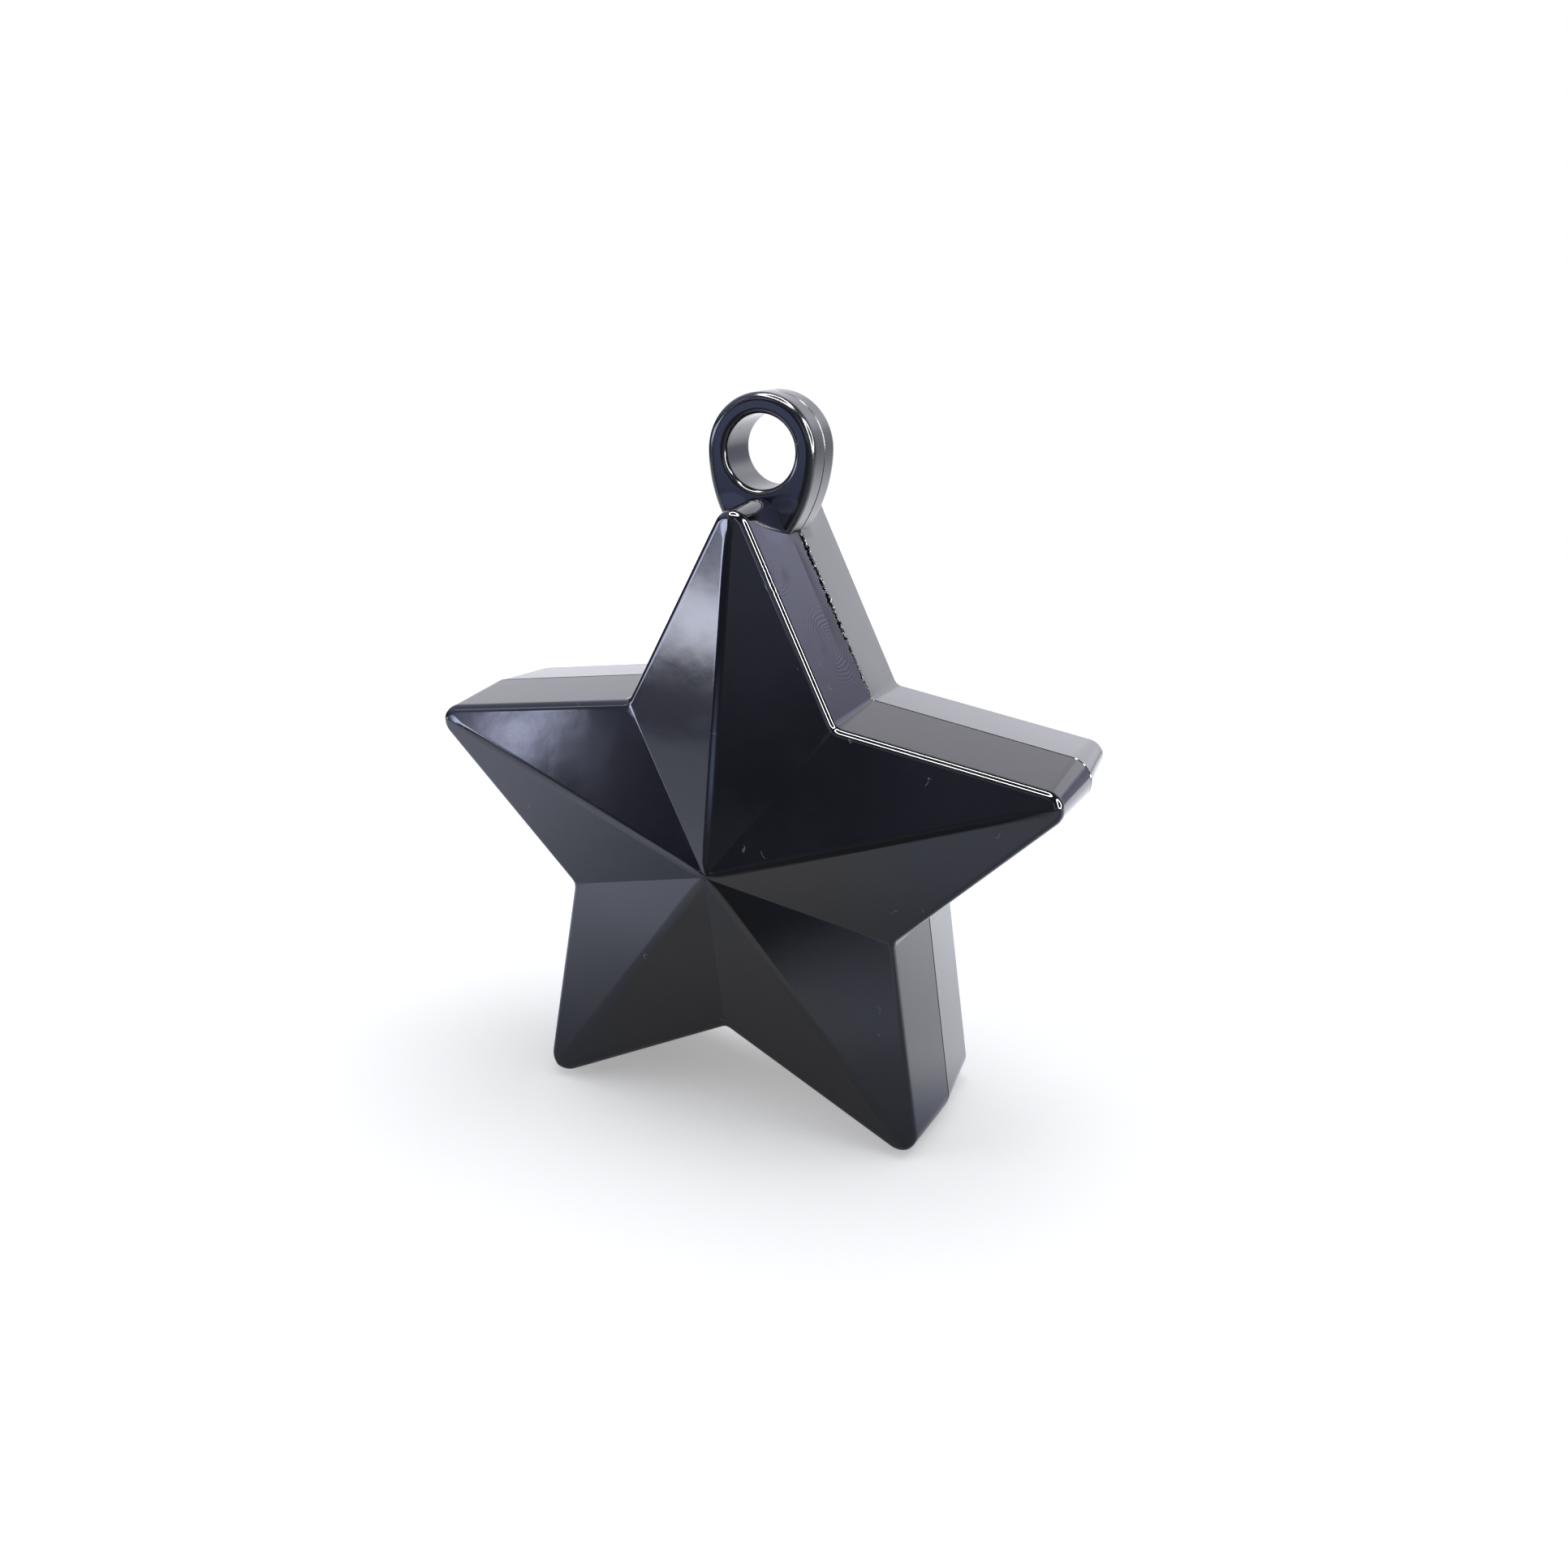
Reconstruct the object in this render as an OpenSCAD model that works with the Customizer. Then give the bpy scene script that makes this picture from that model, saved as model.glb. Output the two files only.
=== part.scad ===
// Star balloon weight: two moulded half shells, each with half of the hanging loop,
// closed around cast ballast. X runs to the right, +Z up, and the front faces -Y.
// The origin is the middle of the base, under the joint between the halves.

/* [Star face] */
// Distance from the star's centre to a tip of the rim, before the tip is rounded
tip_r = 52; // [46:0.5:60]
// Distance from the star's centre to an inner corner of the rim
waist_r = 26.3; // [23:0.1:29]
// Depth of a flank, from the joint to the rim
rim_depth = 13.35; // [10:0.05:18]
// Height of the centre point above the rim, before it is blunted
apex_rise = 7.3; // [4:0.1:10]
// Radius of a rounded tip at the rim, seen from the front
tip_round = 2.55; // [2.2:0.05:3.5]
// Radius in an inner corner of the rim
waist_round = 1.7; // [1.5:0.05:2.2]
// Radius along the rim, between the face and the flank
rim_round = 1.3; // [0.8:0.05:1.6]
// Radius along the ridges from the tips to the centre
ridge_round = 0.8; // [0.5:0.05:1.2]
// Radius along the valleys from the inner corners to the centre
valley_round = 0.6; // [0.3:0.05:1]

/* [Flank] */
// Outward growth of a flank from the rim to the joint, which is the mould's draft
draft_growth = 0.95; // [0.5:0.05:1.3]
// Size of the small bevel along the joint, which shows as the dark seam line
seam_bevel = 0.2; // [0.14:0.02:0.3]

/* [Shell] */
// Wall of a shell
wall = 2; // [1.7:0.05:2.4]
// Width of the flat land on which the two shells meet
land_w = 1; // [0.8:0.05:1.1]
// Height of the locating lip on the front shell
lip_h = 1.5; // [1:0.1:2.2]
// Gap between the lip's side and its recess in the rear shell
lip_side_gap = 0.1; // [0.05:0.01:0.15]
// Gap between the lip's end and the bottom of its recess
lip_end_gap = 0.3; // [0.2:0.05:0.5]
// Least radius in the corners of the cavity
core_round = 0.5; // [0.3:0.05:0.6]

/* [Loop] */
// Radius of the hole for the ribbon
hole_r = 5; // [4:0.1:5.5]
// Radius of the loop's round top, about the hole's centre
loop_r = 7.85; // [7.3:0.05:8.6]
// Radius of the loop's two long sides, which lean in towards the star
loop_side_r = 19; // [17:0.5:24]
// Thickness of one half of the loop, from the joint to its face
loop_half_t = 4.2; // [3.4:0.1:5]
// Height of the hole's centre above the star's top tip
hole_rise = 5.75; // [5.5:0.05:6.4]
// Radius round the outer edge of the loop's face
loop_edge_round = 1.1; // [0.6:0.05:1.3]
// Rounding where the hole opens on the loop's face
mouth_round = 0.8; // [0.4:0.05:1]
// Depth to which the loop's root is sunk in the star's wall
root_sink = 0.6; // [0.4:0.05:0.7]

/* [Ballast] */
// Distance from the joint to the struck-off face of each casting
fill_short = 3; // [2.5:0.1:5]
// Shrinkage gap between a casting and its shell
cast_gap = 0.2; // [0.1:0.05:0.3]

/* [Seam] */
// How far the cement stays below the flank where it is clean
glue_sink = 0.05; // [0.03:0.01:0.08]
// Clearance between the cement and the walls of its groove
glue_gap = 0.02; // [0.01:0.01:0.03]
// Stand-out of the squeezed-out cement on the top arm's right flank
squeeze_out = 0.35; // [0.1:0.05:0.5]
// Half of the greatest width of the squeezed-out cement
squeeze_half_w = 0.32; // [0.3:0.02:0.4]

/* [Hidden] */

arms = 5;
corners = 2 * arms;
half_step = 180 / arms;
top_angle = 90;
tip_steps = 8;
waist_steps = 4;
fillet_steps = 5;
loop_top_steps = 26;
loop_side_steps = 7;
mouth_steps = 4;
bead_count = 34;
bead_seed = 11;
hole_fn = 72;
// How far the tool that bores the hole runs past the loop's faces
overrun = 1;
// Share of the star's size of each ring on the face, from near the rim inwards
face_shares = [0.9, 0.1];
// Share of the sharp apex's rise that the blunt centre keeps
apex_share = 0.97;
// Share of the greatest squeeze that the smallest bead has
bead_low_share = 0.1;

plastic = [0.11, 0.11, 0.13];
plaster = [0.62, 0.6, 0.56];
cement = [0.2, 0.2, 0.22];

// Half angle between the edges at a tip and at an inner corner
tip_half = atan2(waist_r * sin(half_step), tip_r - waist_r * cos(half_step));
waist_half = 180 - half_step - tip_half;
// Distance from the star's centre to the line of an edge
edge_d = tip_r * sin(tip_half);
draft = atan2(draft_growth, rim_depth);
wall_drop = wall / cos(atan2(apex_rise, edge_d));
apex_v = rim_depth + apex_rise * apex_share;

// Corner k of the star: even ones are tips, odd ones are inner corners.
// g is the outward growth from the rim's sharp outline, and v the height above the joint.
function is_tip(k) = k % 2 == 0;
function grown(v) = draft_growth * (1 - v / rim_depth);
function corner_angle(k) = top_angle - k * half_step;
function corner_half(k) = is_tip(k) ? tip_half : waist_half;
function corner_d(k, g) = (is_tip(k) ? tip_r : waist_r) + g / sin(corner_half(k));
function tip_radius(g) = max(tip_round + g, core_round);
function waist_radius(g) = max(waist_round - g, core_round);
function tip_centre_d(g) = corner_d(0, g) - tip_radius(g) / sin(tip_half);

widest_g = grown(seam_bevel);
// Height of the star's centre: its two lower tips stand on the base
star_z = tip_centre_d(widest_g) * cos(half_step) + tip_radius(widest_g);
// Height of the hole's centre above the star's centre
hole_h = tip_centre_d(draft_growth) + tip_radius(draft_growth) + hole_rise;

// One rounded corner, as rows of [x, z, normal x, normal z, cosine to the edge's normal].
// d is the sharp corner's distance and r its radius. An inner corner turns the other way.
function arc_rows(k, d, r) = let(
    a = corner_angle(k),
    turn = abs(90 - corner_half(k)),
    side = is_tip(k) ? 1 : -1,
    c = d - side * r / sin(corner_half(k)),
    steps = is_tip(k) ? tip_steps : waist_steps
) [for (i = [0 : steps]) let(
    swing = turn * (1 - 2 * i / steps),
    n = a + side * swing
) [
    c * cos(a) + side * r * cos(n),
    c * sin(a) + side * r * sin(n),
    cos(n),
    sin(n),
    cos(turn - abs(swing))
]];

// The whole outline, grown outwards by g
function grown_rows(g) = [for (k = [0 : corners - 1])
    each arc_rows(k, corner_d(k, g), is_tip(k) ? tip_radius(g) : waist_radius(g))];

// The outline at share s of its size, with the radii of the ridges and valleys
function scaled_rows(s) = [for (k = [0 : corners - 1])
    each arc_rows(k, s * corner_d(k, 0), is_tip(k) ? ridge_round : valley_round)];

// Height of the faceted face. Its level lines are smaller and smaller stars, so the height
// follows from how far the point lies out towards the edge of its own facet.
function edge_angle(j) = is_tip(j) ? corner_angle(j) - 90 + tip_half : corner_angle(j + 1) + 90 - tip_half;
function edge_share(p) = let(n = edge_angle(floor((top_angle - atan2(p[1], p[0])) / half_step)))
    (p[0] * cos(n) + p[1] * sin(n)) / edge_d;
function face_v(p) = rim_depth + apex_rise * (1 - edge_share(p));

// Rings of points [x, v, z]: level at height v, or lying on the face and lowered by drop
function level_ring(rows, v) = [for (p = rows) [p[0], v, p[1]]];
function face_ring(rows, drop) = [for (p = rows) [p[0], face_v(p) - drop, p[1]]];
function share_ring(s, drop) = level_ring(scaled_rows(s), rim_depth + apex_rise * (1 - s) - drop);

// Ring of the rim's rounding, with t from 0 on the flank to 1 on the face. At each row the
// arc touches the drafted flank on one side and the face at its own slope on the other.
function rim_ring(t) = [for (p = grown_rows(0)) let(
    slope = atan2(apex_rise * p[4], edge_d),
    reach = rim_round / tan((90 + draft + slope) / 2),
    a = draft + t * (90 - slope - draft),
    u = rim_round * (cos(draft) - cos(a)) - reach * sin(draft),
    v = face_v(p) - reach * cos(draft) + rim_round * (sin(a) - sin(draft))
) [p[0] - u * p[2], v, p[1] - u * p[3]]];

outer_rings = concat(
    [for (i = [0 : fillet_steps]) rim_ring(i / fillet_steps)],
    [for (s = face_shares) share_ring(s, 0)]
);

// The land from growth g outwards, the seam bevel and the flank's lower edge
function joint_rings(g) = [
    level_ring(grown_rows(g), 0),
    level_ring(grown_rows(draft_growth - seam_bevel), 0),
    level_ring(grown_rows(widest_g), seam_bevel)
];

// The top of the cavity, from its centre outwards, at a depth inside the outer form
function cavity_rings(inset, drop) = [
    share_ring(face_shares[1], drop),
    face_ring(grown_rows(grown(rim_depth - inset) - inset), drop)
];

lip_g = draft_growth - land_w;
cavity_g = draft_growth - wall;
recess_g = lip_g + lip_side_gap;
recess_v = lip_h + lip_end_gap;

front_rings = concat(
    cavity_rings(wall, wall_drop),
    [
        level_ring(grown_rows(cavity_g), 0),
        level_ring(grown_rows(cavity_g), -lip_h),
        level_ring(grown_rows(lip_g), -lip_h)
    ],
    joint_rings(lip_g),
    outer_rings
);

rear_rings = concat(
    cavity_rings(wall, wall_drop),
    [
        level_ring(grown_rows(cavity_g), recess_v),
        level_ring(grown_rows(recess_g), recess_v)
    ],
    joint_rings(recess_g),
    outer_rings
);

ballast_inset = wall + cast_gap;
ballast_drop = ballast_inset / cos(atan2(apex_rise, edge_d));
ballast_tops = cavity_rings(ballast_inset, ballast_drop);
ballast_rings = [
    level_ring(grown_rows(grown(fill_short) - ballast_inset), fill_short),
    ballast_tops[1],
    ballast_tops[0]
];

// The angle below the hole's centre at which the loop's side meets the top arm's flank,
// with the loop grown by e and the star's outline grown by g
function meet_angle(e, g) = let(
    n = edge_angle(0),
    q = (edge_d + g - hole_h * sin(n) + (loop_side_r - loop_r) * cos(n)) / (loop_side_r + e)
) n - acos(q);

// Rows [x, z] of the loop's outline from its left foot over the top to its right foot,
// grown by e and measured from the star's centre
function loop_rows(e, g) = let(
    foot = meet_angle(e, g),
    q = loop_side_r - loop_r,
    r = loop_side_r + e,
    side = [for (i = [0 : loop_side_steps]) let(a = foot * (1 - i / loop_side_steps))
        [r * cos(a) - q, hole_h + r * sin(a)]],
    top = [for (i = [1 : loop_top_steps - 1]) let(a = 180 * i / loop_top_steps)
        [(loop_r + e) * cos(a), hole_h + (loop_r + e) * sin(a)]]
) concat(
    [for (p = side) [-p[0], p[1]]],
    [for (i = [len(top) - 1 : -1 : 0]) top[i]],
    [for (i = [loop_side_steps : -1 : 0]) side[i]]
);

// The root follows the star's top tip inside its wall, so that the cavity stays clear
root_g = draft_growth - root_sink;
root_arc = arc_rows(0, corner_d(0, root_g), tip_radius(root_g));
root_rows = [for (i = [tip_steps : -1 : 0]) [root_arc[i][0], root_arc[i][1]]];
function loop_ring(e, v) = level_ring(concat(loop_rows(e, root_g), root_rows), v);

loop_rings = concat(
    [loop_ring(-seam_bevel, 0), loop_ring(0, seam_bevel)],
    [for (i = [0 : fillet_steps]) let(a = 90 * i / fillet_steps)
        loop_ring(-loop_edge_round * (1 - cos(a)), loop_half_t - loop_edge_round * (1 - sin(a)))]
);

// The seam runs round the star and over the loop. Its rows are grown by e from the joint's
// outline, with extra rows for the beads on the top arm's right flank.
seam_first = tip_steps + 1;
function seam_rows(e) = let(
    star = grown_rows(draft_growth + e),
    loop = loop_rows(e, draft_growth + e),
    foot = loop[len(loop) - 1],
    corner = star[seam_first]
) concat(
    loop,
    [for (i = [1 : bead_count]) let(t = i / (bead_count + 1))
        [foot[0] + t * (corner[0] - foot[0]), foot[1] + t * (corner[1] - foot[1])]],
    [for (i = [seam_first : len(star) - 1]) [star[i][0], star[i][1]]]
);

bead_shares = rands(bead_low_share, 1, bead_count, bead_seed);
seam_start = len(loop_rows(0, 0));
function bead(i) = i < seam_start || i >= seam_start + bead_count ? 0 : bead_shares[i - seam_start];

// One of the lines along the cement: clean growth and height, and those of a full bead
function glue_line(e0, v0, e1, v1) = let(low = seam_rows(e0), high = seam_rows(e1))
    [for (i = [0 : len(low) - 1]) let(b = bead(i)) [
        low[i][0] + b * (high[i][0] - low[i][0]),
        v0 + b * (v1 - v0),
        low[i][1] + b * (high[i][1] - low[i][1])
    ]];

glue_v = seam_bevel - glue_sink;
glue_low = glue_gap - seam_bevel;
glue_rings = [
    glue_line(glue_low, 0, glue_low, 0),
    glue_line(glue_gap - glue_sink, -glue_v, glue_gap, -seam_bevel),
    glue_line(-glue_sink, -glue_v / 2, glue_gap, -squeeze_half_w),
    glue_line(-glue_sink, 0, squeeze_out, 0),
    glue_line(-glue_sink, glue_v / 2, glue_gap, squeeze_half_w),
    glue_line(glue_gap - glue_sink, glue_v, glue_gap, seam_bevel)
];

function strip(n, a, b) = [for (i = [0 : n - 1]) let(k = (i + 1) % n)
    each [[a * n + i, b * n + i, a * n + k], [a * n + k, b * n + i, b * n + k]]];

// A closed solid skinned over rings of equal length, with a point at each end
module skin(rings, start, end) {
    n = len(rings[0]);
    m = len(rings);
    sides = [for (j = [0 : m - 2]) each strip(n, j, j + 1)];
    first = [for (i = [0 : n - 1]) [n * m, i, (i + 1) % n]];
    last = [for (i = [0 : n - 1]) [n * m + 1, (m - 1) * n + (i + 1) % n, (m - 1) * n + i]];
    polyhedron(points = concat([for (r = rings) each r], [start, end]), faces = concat(sides, first, last));
}

// A closed ring skinned over lines that run side by side round it
module ring_skin(lines) {
    n = len(lines[0]);
    m = len(lines);
    polyhedron(points = [for (r = lines) each r], faces = [for (j = [0 : m - 1]) each strip(n, j, (j + 1) % m)]);
}

// The bore of the loop with its rounded mouth, as one turned form
module hole_tool() {
    mouth_v = loop_half_t - mouth_round;
    translate([0, 0, hole_h])
        rotate([-90, 0, 0])
            rotate_extrude($fn = hole_fn)
                polygon(concat(
                    [[0, -overrun], [hole_r, -overrun]],
                    [for (i = [0 : mouth_steps]) let(a = 90 * i / mouth_steps)
                        [hole_r + mouth_round * (1 - cos(a)), mouth_v + mouth_round * sin(a)]],
                    [[hole_r + mouth_round, loop_half_t + overrun], [0, loop_half_t + overrun]]
                ));
}

// One shell in the mould's own position: the joint lies on y = 0 and the face towards +Y
module half_shell(rings) {
    difference() {
        union() {
            skin(rings, [0, apex_v - wall_drop, 0], [0, apex_v, 0]);
            skin(loop_rings, [0, 0, hole_h], [0, loop_half_t, hole_h]);
        }
        hole_tool();
    }
}

module casting() {
    skin(ballast_rings, [0, fill_short, 0], [0, apex_v - ballast_drop, 0]);
}

module front_shell() {
    color(plastic) translate([0, 0, star_z]) mirror([0, 1, 0]) half_shell(front_rings);
}

module rear_shell() {
    color(plastic) translate([0, 0, star_z]) half_shell(rear_rings);
}

module front_ballast() {
    color(plaster) translate([0, 0, star_z]) mirror([0, 1, 0]) casting();
}

module rear_ballast() {
    color(plaster) translate([0, 0, star_z]) casting();
}

module seam_glue() {
    color(cement) translate([0, 0, star_z]) ring_skin(glue_rings);
}

front_shell();
rear_shell();
front_ballast();
rear_ballast();
seam_glue();
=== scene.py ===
# %% [markdown]
# A star-shaped balloon weight. Two black plastic mouldings are glued together round cast plaster,
# and a loop at the top tip takes the ribbons. Nothing on it moves, so the whole scene is one body.
# The lesson builds it in the order in which a maker would: the moulded star, the loop that grows
# out of it, the cement in the joint, the finishes, and last the studio. Every length is a real one,
# in metres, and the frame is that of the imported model, so the new pieces fit it without any nudging.

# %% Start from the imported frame
import math

import bmesh
import bpy
from mathutils import Matrix, Vector


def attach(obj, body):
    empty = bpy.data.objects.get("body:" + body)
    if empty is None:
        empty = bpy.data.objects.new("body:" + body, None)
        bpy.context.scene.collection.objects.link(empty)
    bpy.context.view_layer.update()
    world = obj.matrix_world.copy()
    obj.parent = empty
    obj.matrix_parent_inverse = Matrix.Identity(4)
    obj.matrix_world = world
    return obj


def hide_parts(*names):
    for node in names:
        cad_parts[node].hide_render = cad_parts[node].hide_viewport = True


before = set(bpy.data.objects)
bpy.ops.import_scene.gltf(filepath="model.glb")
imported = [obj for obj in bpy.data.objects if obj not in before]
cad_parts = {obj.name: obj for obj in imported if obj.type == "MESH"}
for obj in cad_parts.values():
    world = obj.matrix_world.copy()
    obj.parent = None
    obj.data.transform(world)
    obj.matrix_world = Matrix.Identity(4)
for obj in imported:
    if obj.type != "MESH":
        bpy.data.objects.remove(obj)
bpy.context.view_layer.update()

print("packed nodes:", sorted(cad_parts))

# %% [markdown]
# The sizes below are those of the solid model. The star is drawn as a sharp outline first, and
# its corners are rounded afterwards. Going from the rim back to the joint the outline grows a
# little: that is the draft, the slope that lets a moulding leave its mould.

# %% Sizes of the moulded star, in metres
MM = 0.001
TIP_R = 52 * MM
WAIST_R = 26.3 * MM
RIM_DEPTH = 13.35 * MM
APEX_RISE = 7.3 * MM
TIP_ROUND = 2.55 * MM
WAIST_ROUND = 1.7 * MM
RIM_ROUND = 1.3 * MM
RIDGE_ROUND = 0.8 * MM
VALLEY_ROUND = 0.6 * MM
DRAFT_GROWTH = 0.95 * MM
SEAM_BEVEL = 0.2 * MM
WALL = 2 * MM
LAND = 1 * MM
LIP = 1.5 * MM
LIP_SIDE_GAP = 0.1 * MM
LIP_END_GAP = 0.3 * MM
CORE_ROUND = 0.5 * MM
LOOP_HALF_T = 4.2 * MM
CORNERS = 10
HALF_STEP = 2 * math.pi / CORNERS
FINE_ARC_STEPS = 64

TIP_HALF = math.atan2(WAIST_R * math.sin(HALF_STEP), TIP_R - WAIST_R * math.cos(HALF_STEP))
WAIST_HALF = math.pi - HALF_STEP - TIP_HALF
EDGE_D = TIP_R * math.sin(TIP_HALF)
WALL_DROP = WALL / math.cos(math.atan2(APEX_RISE, EDGE_D))
print("half angle at a tip:", round(math.degrees(TIP_HALF), 2), "degrees")


def grown(height):
    """How far the outline has grown from the rim's, at a height above the joint."""
    return DRAFT_GROWTH * (1 - height / RIM_DEPTH)


def corner_arc(corner, growth, steps):
    """One rounded corner of the outline as (x, z) points round the star's centre."""
    tip = corner % 2 == 0
    half, side = (TIP_HALF, 1) if tip else (WAIST_HALF, -1)
    radius = max((TIP_ROUND + growth) if tip else (WAIST_ROUND - growth), CORE_ROUND)
    middle = math.pi / 2 - corner * HALF_STEP
    reach = (TIP_R if tip else WAIST_R) + (growth - side * radius) / math.sin(half)
    swing = abs(math.pi / 2 - half)
    points = []
    for i in range(steps + 1):
        a = middle + side * swing * (1 - 2 * i / steps)
        points.append((reach * math.cos(middle) + side * radius * math.cos(a),
                       reach * math.sin(middle) + side * radius * math.sin(a)))
    return points


LOW_TIP = 4
low_tip = corner_arc(LOW_TIP, grown(SEAM_BEVEL), FINE_ARC_STEPS)
STAR_Z = -min(z for x, z in low_tip)
print("the star's centre is", round(STAR_Z / MM, 2), "mm above the floor")

# %% [markdown]
# Geometry Nodes can write a shape as a rule. Adding and multiplying by hand means hundreds of
# small nodes, so this helper lets a field be written like ordinary arithmetic, and it wires the
# Math nodes itself. The same helper serves the materials later, because a shader tree has the
# same Math node.

# %% A field that can be written as arithmetic


def wire(tree, value, socket):
    """Feeds a number, a socket or a Field into a socket."""
    if isinstance(value, Field):
        value = value.socket
    if isinstance(value, bpy.types.NodeSocket):
        tree.links.new(value, socket)
    else:
        socket.default_value = value


class Field:
    """A value of a node tree, with the arithmetic of a number."""

    def __init__(self, tree, socket):
        self.tree, self.socket = tree, socket

    def op(self, operation, *others):
        """A Math node whose first value is this field."""
        node = self.tree.nodes.new("ShaderNodeMath")
        node.operation = operation
        for value, socket in zip((self, *others), node.inputs):
            wire(self.tree, value, socket)
        return Field(self.tree, node.outputs[0])

    def __add__(self, other):
        return self.op("ADD", other)

    __radd__ = __add__

    def __sub__(self, other):
        return self.op("SUBTRACT", other)

    def __rsub__(self, other):
        return self.op("MULTIPLY_ADD", -1.0, other)

    def __mul__(self, other):
        return self.op("MULTIPLY", other)

    __rmul__ = __mul__

    def __truediv__(self, other):
        return self.op("DIVIDE", other)


def sin(field):
    return field.op("SINE")


def cos(field):
    return field.op("COSINE")


def atan2(up, along):
    """The angle of a direction whose two parts are Fields."""
    return up.op("ARCTAN2", along)


def biggest(field, other):
    return field.op("MAXIMUM", other)


def either(choice, one, zero):
    """one where choice is 1, and zero where it is 0."""
    return choice * one + (1 - choice) * zero


def new_tree(name, inputs):
    """A geometry node tree with a geometry input and named float inputs."""
    tree = bpy.data.node_groups.new(name, "GeometryNodeTree")
    face = tree.interface
    face.new_socket(name="Geometry", in_out="INPUT", socket_type="NodeSocketGeometry")
    face.new_socket(name="Geometry", in_out="OUTPUT", socket_type="NodeSocketGeometry")
    for label, value in inputs.items():
        socket = face.new_socket(name=label, in_out="INPUT", socket_type="NodeSocketFloat")
        socket.default_value = value
    start = tree.nodes.new("NodeGroupInput")
    fields = {label: Field(tree, start.outputs[label]) for label in inputs}
    return tree, start, fields


def feed(tree, node, **feeds):
    """Feeds values into a node's inputs by name."""
    for key, value in feeds.items():
        wire(tree, value, node.inputs[key.replace("_", " ")])


def add(tree, kind, settings=None, **feeds):
    """A new node. settings are its options, and feeds go into its inputs by name."""
    node = tree.nodes.new(kind)
    for key, value in (settings or {}).items():
        setattr(node, key, value)
    feed(tree, node, **feeds)
    return node


def finish_tree(tree, geometry, material):
    """Ends a tree in Realize Instances and Set Material, so that none of it stays an instance."""
    real = add(tree, "GeometryNodeRealizeInstances", Geometry=geometry)
    dressed = add(tree, "GeometryNodeSetMaterial", Geometry=real.outputs[0], Material=material)
    add(tree, "NodeGroupOutput", Geometry=dressed.outputs[0])


def baked(thing):
    """The plain mesh that an object shows once its modifiers have run."""
    seen = thing.evaluated_get(bpy.context.evaluated_depsgraph_get())
    return bpy.data.meshes.new_from_object(seen)


def run_tree(thing, tree, **values):
    """Puts the tree on an object, sets inputs by identifier, and returns the plain result."""
    modifier = thing.modifiers.new("rule", "NODES")
    modifier.node_group = tree
    for item in tree.interface.items_tree:
        key = item.name.lower().replace(" ", "_")
        if item.in_out == "INPUT" and key in values:
            modifier[item.identifier] = values[key]
    mesh = baked(thing)
    thing.modifiers.remove(modifier)
    return mesh


def place(name, data):
    """A new object at the origin that holds a mesh, a curve, a lamp or a camera."""
    thing = bpy.data.objects.new(name, data)
    bpy.context.scene.collection.objects.link(thing)
    return thing


# %% [markdown]
# Finishes come before shapes here, because a node tree ends by setting one. The plastic is black
# with a cold tinge and polished all over. The flanks are the glossiest, the sloping faces a touch
# duller, and the loop duller again, so one material holds all of them and picks by place: what
# lies beyond the rim's plane is face, and what lies high up and near the middle is loop.

# %% Helpers for materials


def new_material(name):
    """A material with its node tree, its shader and the Object coordinates."""
    material = bpy.data.materials.new(name)
    material.use_nodes = True
    tree = material.node_tree
    shader = tree.nodes["Principled BSDF"]
    at = Field(tree, tree.nodes.new("ShaderNodeTexCoord").outputs["Object"])
    return material, tree, shader, at


def noise(at, size, detail=2.0, roughness=0.5):
    """Noise whose lumps are about one size across, as a Field from 0 to 1."""
    node = add(at.tree, "ShaderNodeTexNoise", Vector=at, Scale=1 / size, Detail=detail, Roughness=roughness)
    return Field(at.tree, node.outputs[0])


def ramp(field, low, high, out_low=0.0, out_high=1.0):
    """A soft step from out_low to out_high while the field goes from low to high."""
    node = add(field.tree, "ShaderNodeMapRange", {"interpolation_type": "SMOOTHSTEP"})
    for value, socket in zip((field, low, high, out_low, out_high), node.inputs):
        wire(field.tree, value, socket)
    return Field(field.tree, node.outputs[0])


def fall(field, low, high):
    """A soft step from 1 down to 0 while the field goes from low to high."""
    return ramp(field, low, high, 1.0, 0.0)


# The Mix node has a set of sockets for each kind of data, so those for colours go by number
MIX_SHARE, MIX_FIRST, MIX_SECOND, MIX_RESULT = 0, 6, 7, 2


def blend_colour(share, first, second):
    """The first colour where share is 0, and the second where it is 1."""
    node = add(share.tree, "ShaderNodeMix", {"data_type": "RGBA"})
    for value, number in ((share, MIX_SHARE), (first, MIX_FIRST), (second, MIX_SECOND)):
        wire(share.tree, value, node.inputs[number])
    return node.outputs[MIX_RESULT]


def bump(height, depth, under=None):
    """A bump whose height field of 0 to 1 stands for a real depth in metres."""
    node = add(height.tree, "ShaderNodeBump", Strength=1.0, Distance=depth, Height=height)
    if under is not None:
        wire(height.tree, under, node.inputs["Normal"])
    return node.outputs[0]


def length_from(at, centre):
    """Distance of each point from a fixed place, as a Field."""
    node = add(at.tree, "ShaderNodeVectorMath", {"operation": "DISTANCE"}, Vector=at)
    node.inputs[1].default_value = centre
    return Field(at.tree, node.outputs["Value"])


def split(at):
    """The x, y and z of a vector, as Fields."""
    parts = add(at.tree, "ShaderNodeSeparateXYZ", Vector=at)
    return [Field(at.tree, socket) for socket in parts.outputs]


def cells(at, size):
    """Cells about one size across: how far each point is from its cell's centre, and three
    random numbers of the cell."""
    node = add(at.tree, "ShaderNodeTexVoronoi", Vector=at, Scale=1 / size)
    pick = add(at.tree, "ShaderNodeSeparateColor", Color=node.outputs["Color"])
    return Field(at.tree, node.outputs["Distance"]), [Field(at.tree, socket) for socket in pick.outputs]


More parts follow.
